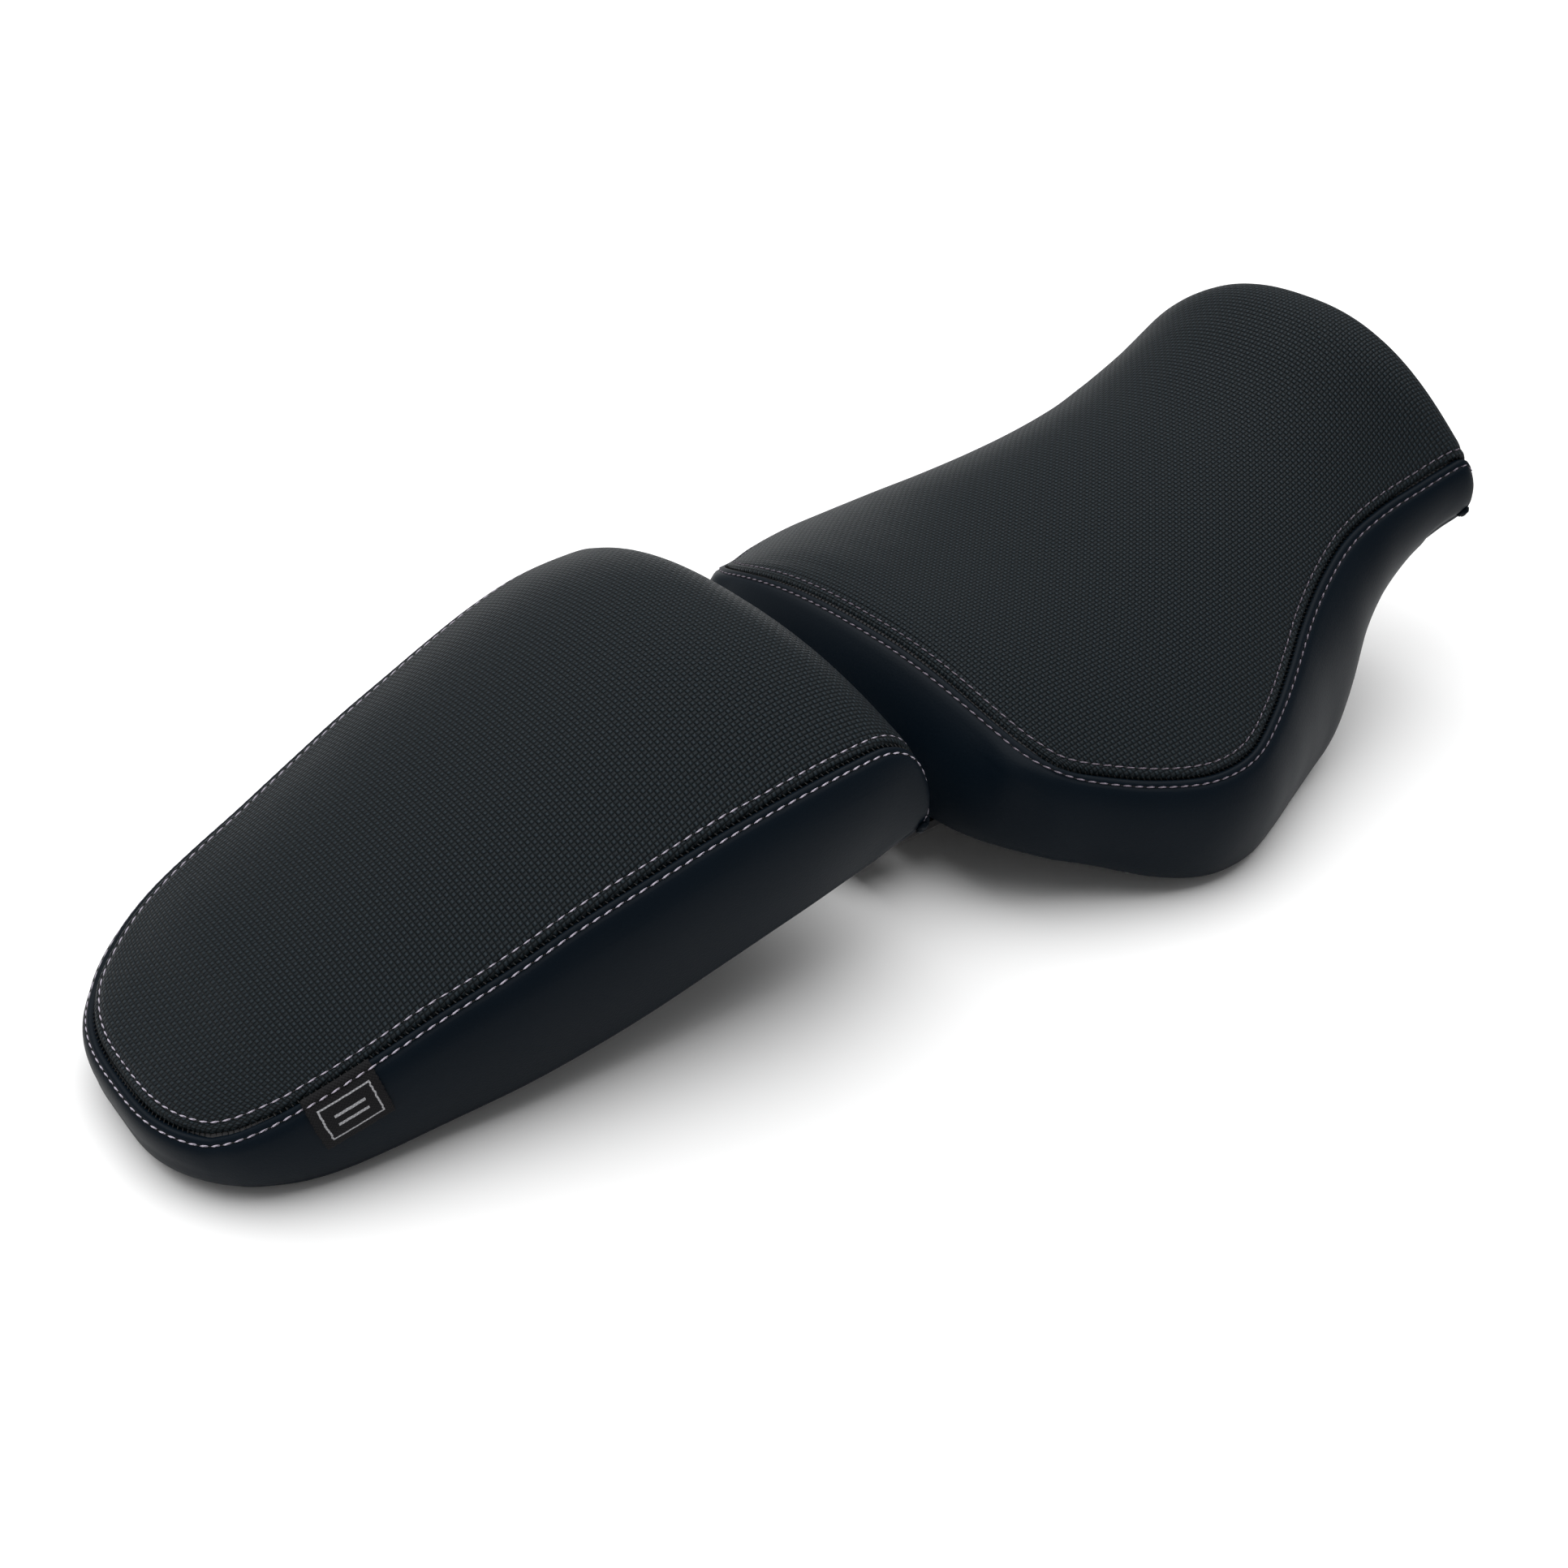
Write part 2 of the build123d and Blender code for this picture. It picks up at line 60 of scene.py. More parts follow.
bpy.context.scene.collection.objects.link(camera)
bpy.context.scene.camera = camera


# ---------------------------------------------------------------- floor and light
# A white sheet of card on the floor, a soft white sky and one large soft box overhead.
class Value:
    """A shader socket that Python arithmetic can work on."""

    def __init__(self, finish, socket):
        self.finish = finish
        self.socket = socket

    def math(self, operation, *others):
        return self.finish.node("ShaderNodeMath", {"operation": operation}, [self, *others])

    def __add__(self, other):
        return self.math("ADD", other)

    def __sub__(self, other):
        return self.math("SUBTRACT", other)

    def __rsub__(self, other):
        return self.finish.node("ShaderNodeMath", {"operation": "SUBTRACT"}, [other, self])

    def __mul__(self, other):
        return self.math("MULTIPLY", other)

    def __truediv__(self, other):
        return self.math("DIVIDE", other)

    def __pow__(self, other):
        return self.math("POWER", other)

    __radd__ = __add__
    __rmul__ = __mul__


class Finish:
    """One material: a Principled shader and the nodes that feed it."""

    def __init__(self, name, **fixed):
        self.material = bpy.data.materials.new(name)
        self.material.use_nodes = True
        self.tree = self.material.node_tree
        self.shader = self.tree.nodes["Principled BSDF"]
        self.set(fixed)

    def set(self, values):
        for name, value in values.items():
            self.feed(self.shader.inputs[name.replace("_", " ")], value)

    def feed(self, socket, value):
        if isinstance(value, Value):
            self.tree.links.new(value.socket, socket)
        elif isinstance(value, tuple) and len(value) == 3 and len(socket.default_value) == 4:
            socket.default_value = (*value, 1.0)
        else:
            socket.default_value = value

    def node(self, kind, settings=None, inputs=(), output=0):
        made = self.tree.nodes.new(kind)
        for name, value in (settings or {}).items():
            setattr(made, name, value)
        pairs = inputs.items() if isinstance(inputs, dict) else enumerate(inputs)
        for key, value in pairs:
            self.feed(made.inputs[key], value)
        return Value(self, made.outputs[output])

    def spot(self):
        return self.node("ShaderNodeTexCoord", output="Object")

    def noise(self, place, scale, detail=2.0):
        return self.node("ShaderNodeTexNoise", {}, {"Vector": place, "Scale": scale, "Detail": detail})

    def between(self, share, first, second):
        """Mix of two colours by a value."""
        return self.node("ShaderNodeMix", {"data_type": "RGBA"}, {0: share, 6: first, 7: second}, 2)

    def bump(self, height, depth):
        return self.node("ShaderNodeBump", {}, {"Height": height, "Distance": depth, "Strength": 1.0})


def new_piece(name, bm):
    """Turns a bmesh into a smooth-shaded object at the origin."""
    mesh = bpy.data.meshes.new(name)
    bm.to_mesh(mesh)
    bm.free()
    mesh.shade_smooth()
    piece = bpy.data.objects.new(name, mesh)
    bpy.context.scene.collection.objects.link(piece)
    return piece


bpy.context.scene.view_settings.view_transform = "Standard"
card = Finish("white_card", Roughness=0.9)
card_tone = card.between(card.noise(card.spot(), 3.0), (0.93, 0.93, 0.93), (0.95, 0.95, 0.95))
card.set({"Base_Color": card_tone})
FLOOR_HALF = 6.0
FLOOR_LEVEL = -0.4 * MM
bm = bmesh.new()
bmesh.ops.create_grid(bm, x_segments=4, y_segments=4, size=FLOOR_HALF,
                      matrix=Matrix.Translation((0, 0, FLOOR_LEVEL)))
floor = new_piece("floor", bm)
floor.data.materials.append(card.material)

world = bpy.data.worlds.new("studio")
world.use_nodes = True
sky = world.node_tree.nodes["Background"].inputs
sky["Color"].default_value = (1.0, 1.0, 1.0, 1.0)
sky["Strength"].default_value = 0.32
bpy.context.scene.world = world
LAMP_PLACE = Vector((0.2, 0.6, 2.8))
lamp = bpy.data.lights.new("top_box", "AREA")
lamp.size = 5.0
lamp.energy = 185.0
holder = bpy.data.objects.new("top_box", lamp)
aim = LAMP_PLACE.to_track_quat("Z", "Y").to_matrix().to_4x4()
holder.matrix_world = Matrix.Translation(LAMP_PLACE) @ aim
bpy.context.scene.collection.objects.link(holder)


# ---------------------------------------------------------------- rider seat, top panel
# Black vinyl embossed with a small basket weave, cut to the saddle's shape, sewn to the side panel
# along its rear and sides, and pulled down over the nose.
CROWN_POWER = 2.4
# Ribs from the rear seam to the hem under the nose, in mm from the seat's rear edge and its base:
# middle x and z, then edge x, y and z.
RIDER_RIBS = [
    (17.5, 99.0, 29.0, 132.0, 73.5),
    (28.0, 102.5, 35.0, 137.0, 70.5),
    (41.0, 105.5, 44.0, 143.0, 67.5),
    (67.0, 106.0, 67.0, 157.5, 62.5),
    (94.0, 106.5, 94.0, 167.5, 59.0),
    (120.0, 109.0, 120.0, 167.5, 60.0),
    (146.0, 114.0, 146.0, 157.5, 67.0),
    (172.0, 120.0, 172.0, 143.5, 76.0),
    (198.0, 127.0, 198.0, 128.5, 87.0),
    (224.0, 135.0, 224.0, 116.5, 98.0),
    (250.0, 145.0, 250.0, 109.0, 108.5),
    (276.0, 160.0, 276.0, 108.5, 117.0),
    (296.0, 174.5, 298.0, 110.5, 122.5),
    (310.0, 184.5, 316.0, 113.0, 127.5),
    (320.0, 187.3, 327.0, 115.0, 130.0),
    (327.5, 186.0, 332.0, 115.5, 127.5),
    (331.5, 178.0, 333.8, 115.5, 121.0),
    (333.6, 160.0, 334.5, 115.0, 114.0),
    (334.2, 136.0, 334.6, 114.5, 108.0),
    (333.8, 112.0, 334.2, 114.0, 102.0),
    (331.5, 98.5, 332.0, 113.0, 97.0),
    (326.0, 95.2, 326.5, 112.0, 94.5),
    (312.0, 90.6, 312.0, 110.0, 90.4),
]
RIDER_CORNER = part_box("rider_side_panel")[0]
RIDER_PLACE = np.array([RIDER_CORNER[0], 0, RIDER_CORNER[2]]) / MM
RIDER_REAR_POWER = 7.0
# A panel's mesh is finest at the seam: two close spacings out to EDGE, then PANEL_STEP, all in mm.
EDGE = 17.0
SEAM_PLACES = np.concatenate([np.arange(0, 7, 0.6), np.arange(7, EDGE, 1.2)])
PANEL_STEP = 2.6
HALF_WIDTH = 150.0
HALF_COLUMNS = 42
VINYL = 1.3


def flowing(rows, count=900):
    """Smooth curve through rows of numbers, as closely spaced rows; the first two columns are x and z."""
    rows = np.array(rows, float)
    steps = np.sqrt(np.linalg.norm(np.diff(rows, axis=0), axis=1))
    knots = np.concatenate([[0.0], np.cumsum(steps)])
    rates = np.diff(rows, axis=0) / steps[:, None]
    slopes = np.concatenate([rates[:1], rates])
    before = steps[:-1, None]
    after = steps[1:, None]
    slopes[1:-1] = (rates[:-1] * after + rates[1:] * before) / (before + after)
    at = np.linspace(0, knots[-1], count)
    i = np.clip(np.searchsorted(knots, at, side="right") - 1, 0, len(steps) - 1)
    t = ((at - knots[i]) / steps[i])[:, None]
    ends = rows[i] * (1 + 2 * t) * (1 - t) ** 2 + rows[i + 1] * t * t * (3 - 2 * t)
    lean = slopes[i] * t * (1 - t) ** 2 - slopes[i + 1] * t * t * (1 - t)
    return ends + steps[i][:, None] * lean


def along(points):
    """Distance run along the first axis of a grid of points."""
    steps = np.linalg.norm(np.diff(points, axis=0), axis=-1)
    return np.concatenate([np.zeros_like(steps[:1]), np.cumsum(steps, axis=0)])


def at_places(places, run, rows):
    """Rows read off at chosen distances along a line."""
    return np.stack([np.interp(places, run, column) for column in np.array(rows).T], -1)


def facing(grid):
    """Unit normals of a grid of points."""
    normal = np.cross(np.gradient(grid, axis=0), np.gradient(grid, axis=1))
    return normal / np.maximum(np.linalg.norm(normal, axis=-1, keepdims=True), 1e-9)


def top_surface(ribs, rear_power, place):
    """Points over a top panel, where each lies on the flat vinyl, and the line of its seam."""
    dense = flowing(ribs)
    run = along(dense[:, :2])
    body = np.linspace(EDGE, run[-1], int((run[-1] - EDGE) / PANEL_STEP))
    places = np.concatenate([SEAM_PLACES, body])
    rib = at_places(places, run, dense)
    half = np.concatenate([SEAM_PLACES / HALF_WIDTH, np.linspace(EDGE / HALF_WIDTH, 1.0, HALF_COLUMNS)])
    across = np.concatenate([half - 1, (1 - half[::-1])[1:]])
    share = np.abs(across)
    x = rib[:, 0:1] + (rib[:, 2:3] - rib[:, 0:1]) * share ** rear_power
    y = rib[:, 3:4] * across
    z = rib[:, 1:2] + (rib[:, 4:5] - rib[:, 1:2]) * share ** CROWN_POWER
    grid = np.stack([x, y, z], -1) + place
    girth = along(grid.transpose(1, 0, 2)).T
    middle = len(across) // 2
    down = np.repeat(places[:, None], len(across), 1)
    flat = np.stack([girth - girth[:, middle:middle + 1], down], -1)
    seam = np.concatenate([grid[:0:-1, 0], grid[0], grid[1:, -1]])
    return grid, flat * MM, seam


def skin(name, grid, flat, thickness=VINYL):
    """Vinyl panel from a grid of points in mm, with its flat pattern as a UV map and its real thickness."""
    rows, columns = grid.shape[:2]
    bm = bmesh.new()
    bmesh.ops.create_grid(bm, x_segments=rows - 1, y_segments=columns - 1, size=1.0)
    pattern = bm.loops.layers.uv.new("flat_pattern")
    spots = {}
    for vert in bm.verts:
        row = round((vert.co.x + 1) / 2 * (rows - 1))
        spot = (row, round((vert.co.y + 1) / 2 * (columns - 1)))
        spots[vert] = flat[spot]
        vert.co = grid[spot] * MM
    for face in bm.faces:
        for loop in face.loops:
            loop[pattern].uv = spots[loop.vert]
    piece = new_piece(name, bm)
    wall = piece.modifiers.new("vinyl", "SOLIDIFY")
    wall.thickness = thickness * MM
    wall.offset = -1.0
    return piece


WEAVE = 2.33 * MM


def woven_vinyl(name):
    """Charcoal vinyl pressed with a basket weave: short rounded bars, each over the next in turn; its colour
    has a painted highlight on the bars and painted shade between them.
    """
    vinyl = Finish(name, Specular_IOR_Level=0.10)
    plan = vinyl.node("ShaderNodeUVMap", {"uv_map": "flat_pattern"})
    u = vinyl.node("ShaderNodeSeparateXYZ", {}, [plan], 0) / WEAVE
    v = vinyl.node("ShaderNodeSeparateXYZ", {}, [plan], 1) / WEAVE
    cell_u = u.math("FLOOR")
    cell_v = v.math("FLOOR")
    odd = ((cell_u + cell_v) * 0.5).math("FRACT") * 2
    du = (u - cell_u - 0.5).math("ABSOLUTE") * 2
    dv = (v - cell_v - 0.5).math("ABSOLUTE") * 2
    lengthways = odd * du + (1 - odd) * dv
    crossways = odd * dv + (1 - odd) * du
    bar = (1 - crossways ** 2.2) * (1 - 0.7 * lengthways ** 3) * (0.55 + 0.45 * odd)
    grain = vinyl.noise(vinyl.spot(), 2600.0, 3.0)
    broad = vinyl.noise(vinyl.spot(), 9.0, 2.0)
    relief = bar + grain * 0.18
    # Painted light: the colour follows the bar relief. Raised bars are lighter as a painted highlight, and the
    # bars that lie over are lightest. Between the bars it is near black, as painted shade in the weave's gaps.
    tone = vinyl.between(bar * 0.85 + grain * 0.15, (0.0002, 0.0003, 0.0004),
                         (0.0165, 0.0250, 0.0315))
    tone = vinyl.between(broad * 0.15, tone, (0.0060, 0.0105, 0.0130))
    vinyl.set({"Base_Color": tone, "Roughness": 0.52 - bar * 0.17 + grain * 0.08,
               "Normal": vinyl.bump(relief, 1.15 * MM)})
    return vinyl.material


rider_top, rider_top_flat, rider_seam = top_surface(RIDER_RIBS, RIDER_REAR_POWER, RIDER_PLACE)
top_vinyl = woven_vinyl("woven_vinyl")


# ---------------------------------------------------------------- rider seat, side panel
# One band of smooth black vinyl round the rear and both sides, sewn to the top panel above and
# turned under the base and stapled below.
HEM = 20.0
HEM_RADIUS = 2.2
EDGE_TUCK = 4.0
BULGE = 3.0
SIDE_STEP = 2.4
SEAM_SLOPE_LIMIT = 1.3         # below this the seam runs nearly straight down and gives no direction
FULL_HEIGHT = 30.0             # a lower wall has its tuck, swell and hem scaled down
# Along the seat in mm: how far the foot stands out past the seam, and the foot's height.
RIDER_FOOT = [
    (0.0, 10.0, 30.0), (10.0, 10.0, 27.0), (23.0, 10.0, 22.5), (41.0, 9.6, 16.0), (67.0, 8.8, 6.0),
    (94.0, 8.0, 0.0), (120.0, 8.0, 0.0), (146.0, 9.6, 0.0), (172.0, 12.8, 0.0), (198.0, 20.0, 3.0),
    (224.0, 24.0, 12.0), (250.0, 17.6, 32.0), (276.0, 8.0, 62.0), (303.0, 5.6, 84.0),
    (319.0, 4.8, 91.0), (328.0, 4.8, 94.0), (334.0, 4.8, 96.0),
]


def smoothed(rows, passes):
    """Evens out a row of values, its two ends kept, in place."""
    for _ in range(passes):
        rows[1:-1] = (rows[:-2] + 2 * rows[1:-1] + rows[2:]) / 4


def side_surface(seam, end, foot, rear_reach, corner, place):
    """Points down a side panel, from the seam over the swell and round the foot to the hem."""
    run = along(seam)
    places = np.linspace(end, run[-1] - end, int(run[-1] / SIDE_STEP))
    seam = at_places(places, run, seam)
    tangent = np.gradient(seam[:, :2], axis=0)
    speed = np.linalg.norm(tangent, axis=1)
    level = np.nonzero(speed > SEAM_SLOPE_LIMIT)[0]
    out = np.stack([-tangent[:, 1], tangent[:, 0]], -1) / speed[:, None]
    out[:level[0]] = out[level[0]]
    out[level[-1] + 1:] = out[level[-1]]
    if out[len(out) // 2, 0] > 0:
        out = -out
    for _ in range(40):
        smoothed(out, 1)
        out /= np.linalg.norm(out, axis=1, keepdims=True)
    foot = np.array(foot) + (place[0], 0, place[2])
    backward = np.clip(-out[:, 0], 0, 1) ** 2
    reach = np.interp(seam[:, 0], foot[:, 0], foot[:, 1]) * (1 - backward)
    reach += rear_reach * backward ** 4 + corner * 4 * backward * (1 - backward)
    low = np.interp(seam[:, 0] + out[:, 0] * reach, foot[:, 0], foot[:, 2])
    smoothed(reach, 60)
    smoothed(low, 60)
    tall = np.maximum(seam[:, 2] - low, 3.0)
    scale = np.clip(tall / FULL_HEIGHT, 0.1, 1)
    fall = 0.55 + 0.25 * (1 - backward)
    outward = np.concatenate([out, np.zeros((len(out), 1))], 1)
    down = np.array([0, 0, -1.0])
    foot_point = seam + outward * (reach - EDGE_TUCK * scale)[:, None]
    foot_point[:, 2] = low + HEM_RADIUS * scale
    leaving = (outward + down * fall[:, None]) / np.hypot(1, fall)[:, None]
    p1 = seam + leaving * (tall * 0.36)[:, None]
    p2 = foot_point + outward * ((EDGE_TUCK + BULGE) * scale)[:, None] - down * (tall * 0.28)[:, None]
    t = np.linspace(0, 1, 90)[:, None, None]
    swell = (seam * (1 - t) ** 3 + 3 * p1 * t * (1 - t) ** 2
             + 3 * p2 * t * t * (1 - t) + foot_point * t ** 3)
    depth = along(swell)
    columns = []
    for k in range(len(seam)):
        tight = min(1.0, depth[-1, k] / 34)
        wanted = np.concatenate([SEAM_PLACES * tight, np.linspace(EDGE * tight, depth[-1, k], 24)])
        body = at_places(wanted, depth[:, k], swell[:, k])
        edge = HEM_RADIUS * scale[k]
        turned = [foot_point[k] - outward[k] * edge * (1 - math.cos(angle)) + down * edge * math.sin(angle)
                  for angle in (0.5, 1.0, 1.5)]
        under = foot_point[k] - outward[k] * np.linspace(4, HEM, 7)[:, None]
        under[:, 2] = np.interp(under[:, 0], foot[:, 0], foot[:, 2])
        columns.append(np.concatenate([body, turned, under]))
    grid = np.array(columns)
    girth = along(grid.transpose(1, 0, 2)).T
    return grid, np.stack([np.repeat(places[:, None], grid.shape[1], 1), girth], -1) * MM


FOAM_CLEARANCE = 1.7


def over_foam(grid, normal, foam, seam_tree):
    """Pushes vinyl out where it would lie closer than its own thickness to the foam."""
    push = np.zeros(grid.shape[:2])
    for i, j in np.ndindex(push.shape):
        ray = Vector(normal[i, j])
        hit = foam.ray_cast(Vector(grid[i, j]) * MM + ray * 0.03, -ray, 0.05)[0]
        if hit:
            push[i, j] = max(0.0, (hit / MM - Vector(grid[i, j])).dot(ray) + FOAM_CLEARANCE)
    for _ in range(6):
        spread = np.pad(push, 1, mode="edge")
        around = (spread[:-2, 1:-1] + spread[2:, 1:-1] + spread[1:-1, :-2] + spread[1:-1, 2:]) / 4
        push = np.maximum(push * 0.7, around)
    away = np.array([[seam_tree.find(point)[2] for point in row] for row in grid])
    return grid + normal * (push * np.clip((away - 1) / 8, 0, 1))[..., None], away


# The seam's cross-section in mm: distance from the seam, and the cover's height there.
SEAM_DISTANCE = [0.0, 0.45, 1.0, 1.7, 2.6, 3.6, 4.3, 4.8, 5.3, 6.5, 8.5, 12.0, 17.0]
SEAM_HEIGHT = [-2.7, -2.2, -1.0, -0.3, 0.0, 0.0, -0.25, -0.42, -0.22, 0.12, 0.25, 0.1, 0.0]
SEAM_ROLL = 4.0                # within this distance the edge turns into the seam's own direction


def finder(points):
    """Search tree over a row of points."""
    tree = kdtree.KDTree(len(points))
    for k, point in enumerate(points):
        tree.insert(point, k)
    tree.balance()
    return tree


def sewn(top, side, seam, foam_name):
    """Both panels of a seat laid over its foam and rolled into the seam between them."""
    run = along(seam)
    fine = at_places(np.arange(0, run[-1], 0.5), run, seam)
    tree = finder(fine)
    foam_mesh = bmesh.new()
    foam_mesh.from_mesh(bpy.data.objects[foam_name].data)
    foam_mesh.transform(bpy.data.objects[foam_name].matrix_world)
    foam = bvhtree.BVHTree.FromBMesh(foam_mesh)
    foam_mesh.free()
    normals = []
    for grid in (top, side):
        normal = facing(grid)
        centre = grid.reshape(-1, 3).mean(0)
        if ((grid - centre) * normal).sum() < 0:
            normal = -normal
        normals.append(normal)
    edges = [np.concatenate([top[:, 0], top[0], top[:, -1]]), side[:, 0]]
    top_normal, side_normal = normals
    edge_normals = [np.concatenate([top_normal[:, 0], top_normal[0], top_normal[:, -1]]), side_normal[:, 0]]
    share = np.zeros_like(fine)
    for points, ways in zip(edges, edge_normals):
        rim = finder(points)
        share += ways[[rim.find(point)[1] for point in fine]]
    smoothed(share, 60)
    share /= np.linalg.norm(share, axis=1, keepdims=True)
    shaped = []
    for grid, normal in zip((top, side), normals):
        grid, away = over_foam(grid, normal, foam, tree)
        nearest = np.array([[tree.find(point)[1] for point in row] for row in grid])
        weight = np.clip(1 - away / SEAM_ROLL, 0, 1)[..., None]
        way = normal * (1 - weight) + share[nearest] * weight
        way /= np.linalg.norm(way, axis=-1, keepdims=True)
        shaped.append(grid + way * np.interp(away, SEAM_DISTANCE, SEAM_HEIGHT)[..., None])
    return shaped[0], shaped[1], fine, share


def smooth_vinyl(name):
    """Blue-black vinyl with a fine leather grain and a soft sheen."""
    vinyl = Finish(name, Specular_IOR_Level=0.07)
    spot = vinyl.spot()
    pebble = vinyl.node("ShaderNodeTexVoronoi", {"feature": "SMOOTH_F1"}, {"Vector": spot, "Scale": 1100.0})
    fine = vinyl.noise(spot, 3200.0, 3.0)
    broad = vinyl.noise(spot, 14.0, 2.0)
    relief = pebble * 0.7 + fine * 0.3
    tone = vinyl.between(broad * 0.6 + pebble * 0.3, (0.0010, 0.0034, 0.0066), (0.0024, 0.0060, 0.0105))
    vinyl.set({"Base_Color": tone, "Roughness": 0.40 + broad * 0.08 + fine * 0.06,
               "Normal": vinyl.bump(relief, 0.07 * MM)})
    return vinyl.material


RIDER_END = 22.5
RIDER_REAR_REACH = 26.0
RIDER_CORNER_REACH = 0.0
rider_side, rider_side_flat = side_surface(rider_seam, RIDER_END, RIDER_FOOT, RIDER_REAR_REACH,
                                           RIDER_CORNER_REACH, RIDER_PLACE)
rider_top, rider_side, rider_line, rider_up = sewn(rider_top, rider_side, rider_seam, "rider_foam")
rider_top_cover = skin("rider_top_cover", rider_top, rider_top_flat)
rider_top_cover.data.materials.append(top_vinyl)
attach(rider_top_cover, "rider_seat")
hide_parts("rider_top_panel")
rider_side_cover = skin("rider_side_cover", rider_side, rider_side_flat)
plain_vinyl = smooth_vinyl("smooth_vinyl")
rider_side_cover.data.materials.append(plain_vinyl)
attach(rider_side_cover, "rider_seat")
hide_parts("rider_side_panel")


# ---------------------------------------------------------------- rider seat, stitching
# Two rows of lilac top-stitching, one each side of the seam, pulled into black needle holes, and the
# black joining stitches that show down in the seam.
STITCH = 5.6
ROW_FROM_SEAM = 4.8
TAG_LIFT = 1.0                 # how far stitches rise where they cross the tag


def surface_tree(cover):
    """Finder for the outer side of a cover."""
    mesh = bmesh.new()
    mesh.from_mesh(cover.data)
    tree = bvhtree.BVHTree.FromBMesh(mesh)
    mesh.free()
    return tree


def row_beside(line, up, cover, distance):
    """Points and normals of a line on a cover that keeps its distance from the seam."""
    tree = surface_tree(cover)
    line = line * MM
    way = np.gradient(line, axis=0)
    across = np.cross(way, up)
    across *= distance * MM / np.linalg.norm(across, axis=1, keepdims=True)
    sides = []
    for turn in (1, -1):
        hits = [tree.find_nearest(Vector(point)) for point in (line + across * turn)[::4]]
        sides.append((sum(hit[3] for hit in hits), [hit[0] for hit in hits]))
    points = min(sides, key=lambda found: found[0])[1]
    points = np.array(points)
    smoothed(points, 12)
    found = [tree.find_nearest(Vector(point)) for point in points]
    return np.array([hit[0] for hit in found]), np.array([hit[1] for hit in found])


def stitches(points, ways, length, width, pitch, start, end, lift, skew, crosswise=False):
    """Short threads laid along a line, half sunk in the vinyl.

    Known fault: each is meant to be a low ellipsoid, but the points of a duplicate don't come in the
    template's order, so the threads come out crumpled, and differently from run to run.
    """
    run = along(points) / MM
    places = np.arange(start, run[-1] - end, pitch)
    bm = bmesh.new()
    bmesh.ops.create_uvsphere(bm, u_segments=6, v_segments=5, radius=1.0,
                              matrix=Matrix.Rotation(math.pi / 2, 4, "Y"))
    each = len(bm.verts)
    template = [vert.co.copy() for vert in bm.verts]
    faces = len(bm.faces)
    made = 1
    while made < len(places):
        more = min(made, len(places) - made)
        bm.faces.ensure_lookup_table()
        bmesh.ops.duplicate(bm, geom=bm.faces[:more * faces])
        made += more
    heres = at_places(places, run, points)
    aheads = at_places(places + 1.5, run, points)
    ups = at_places(places, run, ways)
    bm.verts.ensure_lookup_table()
    for k in range(len(places)):
        up = Vector(ups[k]).normalized()
        way = Vector(aheads[k] - heres[k]).normalized()
        over = up.cross(way).normalized()
        way = over.cross(up)
        if crosswise:
            way, over = over, -way
        turned = Matrix.Rotation(math.radians(skew), 3, up)
        axes = Matrix((turned @ way, turned @ over, up)).transposed().to_4x4()
        size = Matrix.Diagonal((length * MM / 2, width * MM / 2, width * MM * 0.42, 1))
        move = Matrix.Translation(Vector(heres[k]) + up * lift * MM) @ axes @ size
        for vert, spot in zip(bm.verts[k * each:(k + 1) * each], template):
            vert.co = move @ spot
    return bm


def thread(name, dark, light):
    """Twisted polyester sewing thread."""
    yarn = Finish(name, Roughness=0.6, Specular_IOR_Level=0.4)
    strand = yarn.noise(yarn.spot(), 1800.0, 2.0)
    yarn.set({"Base_Color": yarn.between(strand, dark, light),
              "Normal": yarn.bump(strand, 0.15 * MM)})
    return yarn.material


def sew(seat, body, line, up, top, side, end, colour, hole_colour, over=None):
    """Both top-stitch rows and the joining stitches of one seat; over is the tag's span in x, in mm."""
    rows = {"upper": row_beside(line, up, top, ROW_FROM_SEAM),
            "lower": row_beside(line, up, side, ROW_FROM_SEAM)}
    pieces = {}
    for name, (points, ways) in rows.items():
        if over:
            first, last = over
            crossing = (points[:, 0] > first * MM) & (points[:, 0] < last * MM) & (points[:, 1] < 0)
            points = points + ways * (TAG_LIFT * MM * (crossing & (name == "lower")))[:, None]
        threads = stitches(points, ways, 4.7, 0.85, STITCH, end, end, 0.12, 4)
        pieces[f"stitches_{name}"] = threads, colour
        holes = stitches(points, ways, 1.3, 0.9, STITCH, end + STITCH / 2, end, 0.0, 0)
        pieces[f"holes_{name}"] = holes, hole_colour
    joining = stitches(line * MM, up, 3.0, 0.7, STITCH / 2, end, end, -1.5, 18, True)
    pieces["joining_stitches"] = joining, hole_colour
    for name, (bm, material) in pieces.items():
        piece = new_piece(f"{seat}_{name}", bm)
        piece.data.materials.append(material)
        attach(piece, body)


muted_lilac = thread("muted_lilac_thread", (0.17, 0.145, 0.18), (0.34, 0.29, 0.36))
black_thread = thread("black_thread", (0.002, 0.002, 0.002), (0.006, 0.006, 0.007))
sew("rider", "rider_seat", rider_line, rider_up, rider_top_cover, rider_side_cover, RIDER_END + 4,
    muted_lilac, black_thread)


